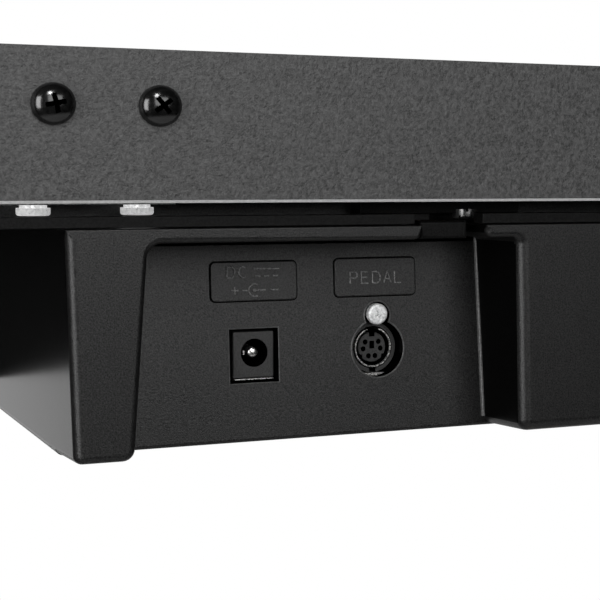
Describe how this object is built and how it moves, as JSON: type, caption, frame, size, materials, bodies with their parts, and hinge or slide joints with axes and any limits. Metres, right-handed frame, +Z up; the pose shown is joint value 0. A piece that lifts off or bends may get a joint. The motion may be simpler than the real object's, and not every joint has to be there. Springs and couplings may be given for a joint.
{
  "type": "digital piano on stand",
  "caption": "Slim digital piano on a black furniture stand, with a socket recess under its back edge, a pedal box with brass levers and a lift-off music rest.",
  "frame": {"origin": "on the floor, at the middle of the object's box", "axes": "+X along the keyboard to the player's right, +Y away from the player to the back, +Z up"},
  "size_m": [1.336, 0.2962, 0.8926],
  "materials": {
    "laminate": "matt black laminate with a fine leather grain",
    "case_plastic": "spark-eroded black moulding",
    "socket_plastic": "plain black moulding",
    "black_steel": "glossy black",
    "zinc": "bright zinc or nickel plate",
    "wood": "bare wood",
    "key_white": "satin ivory-like",
    "key_black": "satin black",
    "felt": "red felt",
    "circuit": "green circuit board",
    "frame_steel": "plain steel sheet",
    "driver": "black basket and cone",
    "brass": "polished brass"
  },
  "bodies": {
    "stand_and_case": {"rear_board": "laminate", "rear_board_screw_1": "black_steel", "rear_board_screw_2": "black_steel", "rear_bracket": "zinc", "bracket_screw_1": "zinc", "bracket_screw_2": "zinc", "case_screw": "zinc", "rear_rail": "wood", "bottom_case": "case_plastic", "front_rail": "laminate", "top_panel": "case_plastic", "left_end_block": "laminate", "right_end_block": "laminate", "left_speaker_grille": "case_plastic", "right_speaker_grille": "case_plastic", "left_speaker": "driver", "right_speaker": "driver", "electronics_housing": "case_plastic", "main_circuit_board": "circuit", "dc_jack_body": "socket_plastic", "dc_jack_pin": "zinc", "pedal_socket_body": "socket_plastic", "pedal_socket_ring": "zinc", "pedal_socket_screw": "zinc", "headphone_unit": "case_plastic", "key_frame": "frame_steel", "key_contact_board": "circuit", "key_felt": "felt", "left_side_panel": "laminate", "right_side_panel": "laminate", "left_foot": "laminate", "right_foot": "laminate", "stand_back_panel": "laminate", "pedal_box": "laminate", "pedal_bracket": "frame_steel", "pedal_axle": "zinc"},
    "white_keys_1": {"white_keys_1": "key_white"},
    "black_keys_1": {"black_keys_1": "key_black"},
    "white_keys_2": {"white_keys_2": "key_white"},
    "black_keys_2": {"black_keys_2": "key_black"},
    "white_keys_3": {"white_keys_3": "key_white"},
    "black_keys_3": {"black_keys_3": "key_black"},
    "white_keys_4": {"white_keys_4": "key_white"},
    "black_keys_4": {"black_keys_4": "key_black"},
    "white_keys_5": {"white_keys_5": "key_white"},
    "black_keys_5": {"black_keys_5": "key_black"},
    "white_keys_6": {"white_keys_6": "key_white"},
    "black_keys_6": {"black_keys_6": "key_black"},
    "white_keys_7": {"white_keys_7": "key_white"},
    "black_keys_7": {"black_keys_7": "key_black"},
    "music_rest": {"music_rest": "case_plastic"},
    "power_button": {"power_button": "key_black"},
    "voice_button": {"voice_button": "key_black"},
    "metronome_button": {"metronome_button": "key_black"},
    "record_button": {"record_button": "key_black"},
    "volume_knob": {"volume_knob": "key_black"},
    "soft_pedal": {"soft_pedal": "brass"},
    "sostenuto_pedal": {"sostenuto_pedal": "brass"},
    "damper_pedal": {"damper_pedal": "brass"},
    "height_adjuster": {"height_adjuster": "key_black"}
  },
  "joints": [
    {"name": "white_keys_1_press", "type": "hinge", "parent": "stand_and_case", "child": "white_keys_1", "pos_m": [-0.611, 0.054, 0.706], "axis": [1, 0, 0], "range_deg": [0, 3.2], "stiffness_Nm_per_rad": 5, "springref_deg": -9.17},
    {"name": "black_keys_1_press", "type": "hinge", "parent": "stand_and_case", "child": "black_keys_1", "pos_m": [-0.5887, 0.057, 0.714], "axis": [1, 0, 0], "range_deg": [0, 3.5], "stiffness_Nm_per_rad": 3, "springref_deg": -6.88},
    {"name": "white_keys_2_press", "type": "hinge", "parent": "stand_and_case", "child": "white_keys_2", "pos_m": [-0.3995, 0.054, 0.706], "axis": [1, 0, 0], "range_deg": [0, 3.2], "stiffness_Nm_per_rad": 5, "springref_deg": -9.17},
    {"name": "black_keys_2_press", "type": "hinge", "parent": "stand_and_case", "child": "black_keys_2", "pos_m": [-0.3834, 0.057, 0.714], "axis": [1, 0, 0], "range_deg": [0, 3.5], "stiffness_Nm_per_rad": 3, "springref_deg": -6.88},
    {"name": "white_keys_3_press", "type": "hinge", "parent": "stand_and_case", "child": "white_keys_3", "pos_m": [-0.235, 0.054, 0.706], "axis": [1, 0, 0], "range_deg": [0, 3.2], "stiffness_Nm_per_rad": 5, "springref_deg": -9.17},
    {"name": "black_keys_3_press", "type": "hinge", "parent": "stand_and_case", "child": "black_keys_3", "pos_m": [-0.2189, 0.057, 0.714], "axis": [1, 0, 0], "range_deg": [0, 3.5], "stiffness_Nm_per_rad": 3, "springref_deg": -6.88},
    {"name": "white_keys_4_press", "type": "hinge", "parent": "stand_and_case", "child": "white_keys_4", "pos_m": [-0.0705, 0.054, 0.706], "axis": [1, 0, 0], "range_deg": [0, 3.2], "stiffness_Nm_per_rad": 5, "springref_deg": -9.17},
    {"name": "black_keys_4_press", "type": "hinge", "parent": "stand_and_case", "child": "black_keys_4", "pos_m": [-0.0544, 0.057, 0.714], "axis": [1, 0, 0], "range_deg": [0, 3.5], "stiffness_Nm_per_rad": 3, "springref_deg": -6.88},
    {"name": "white_keys_5_press", "type": "hinge", "parent": "stand_and_case", "child": "white_keys_5", "pos_m": [0.094, 0.054, 0.706], "axis": [1, 0, 0], "range_deg": [0, 3.2], "stiffness_Nm_per_rad": 5, "springref_deg": -9.17},
    {"name": "black_keys_5_press", "type": "hinge", "parent": "stand_and_case", "child": "black_keys_5", "pos_m": [0.1101, 0.057, 0.714], "axis": [1, 0, 0], "range_deg": [0, 3.5], "stiffness_Nm_per_rad": 3, "springref_deg": -6.88},
    {"name": "white_keys_6_press", "type": "hinge", "parent": "stand_and_case", "child": "white_keys_6", "pos_m": [0.2585, 0.054, 0.706], "axis": [1, 0, 0], "range_deg": [0, 3.2], "stiffness_Nm_per_rad": 5, "springref_deg": -9.17},
    {"name": "black_keys_6_press", "type": "hinge", "parent": "stand_and_case", "child": "black_keys_6", "pos_m": [0.2746, 0.057, 0.714], "axis": [1, 0, 0], "range_deg": [0, 3.5], "stiffness_Nm_per_rad": 3, "springref_deg": -6.88},
    {"name": "white_keys_7_press", "type": "hinge", "parent": "stand_and_case", "child": "white_keys_7", "pos_m": [0.423, 0.054, 0.706], "axis": [1, 0, 0], "range_deg": [0, 3.2], "stiffness_Nm_per_rad": 5, "springref_deg": -9.17},
    {"name": "black_keys_7_press", "type": "hinge", "parent": "stand_and_case", "child": "black_keys_7", "pos_m": [0.4391, 0.057, 0.714], "axis": [1, 0, 0], "range_deg": [0, 3.5], "stiffness_Nm_per_rad": 3, "springref_deg": -6.88},
    {"name": "music_rest_lift", "type": "slide", "parent": "stand_and_case", "child": "music_rest", "axis": [0, 0.2419, 0.9703], "range_m": [0, 0.04]},
    {"name": "power_button_press", "type": "slide", "parent": "stand_and_case", "child": "power_button", "axis": [0, 0, -1], "range_m": [0, 0.0015], "stiffness_N_per_m": 300, "springref_m": -0.003},
    {"name": "voice_button_press", "type": "slide", "parent": "stand_and_case", "child": "voice_button", "axis": [0, 0, -1], "range_m": [0, 0.001], "stiffness_N_per_m": 300, "springref_m": -0.003},
    {"name": "metronome_button_press", "type": "slide", "parent": "stand_and_case", "child": "metronome_button", "axis": [0, 0, -1], "range_m": [0, 0.001], "stiffness_N_per_m": 300, "springref_m": -0.003},
    {"name": "record_button_press", "type": "slide", "parent": "stand_and_case", "child": "record_button", "axis": [0, 0, -1], "range_m": [0, 0.001], "stiffness_N_per_m": 300, "springref_m": -0.003},
    {"name": "volume_knob_turn", "type": "hinge", "parent": "stand_and_case", "child": "volume_knob", "pos_m": [-0.425, 0.09, 0.7364], "axis": [0, 0, 1], "range_deg": [-150, 150]},
    {"name": "soft_pedal_press", "type": "hinge", "parent": "stand_and_case", "child": "soft_pedal", "pos_m": [-0.07, 0.055, 0.078], "axis": [1, 0, 0], "range_deg": [0, 8], "stiffness_Nm_per_rad": 18, "springref_deg": -4.58},
    {"name": "sostenuto_pedal_press", "type": "hinge", "parent": "stand_and_case", "child": "sostenuto_pedal", "pos_m": [0, 0.055, 0.078], "axis": [1, 0, 0], "range_deg": [0, 8], "stiffness_Nm_per_rad": 18, "springref_deg": -4.58},
    {"name": "damper_pedal_press", "type": "hinge", "parent": "stand_and_case", "child": "damper_pedal", "pos_m": [0.07, 0.055, 0.078], "axis": [1, 0, 0], "range_deg": [0, 8], "stiffness_Nm_per_rad": 18, "springref_deg": -4.58},
    {"name": "height_adjuster_lift", "type": "slide", "parent": "stand_and_case", "child": "height_adjuster", "axis": [0, 0, 1], "range_m": [0, 0.01]}
  ]
}
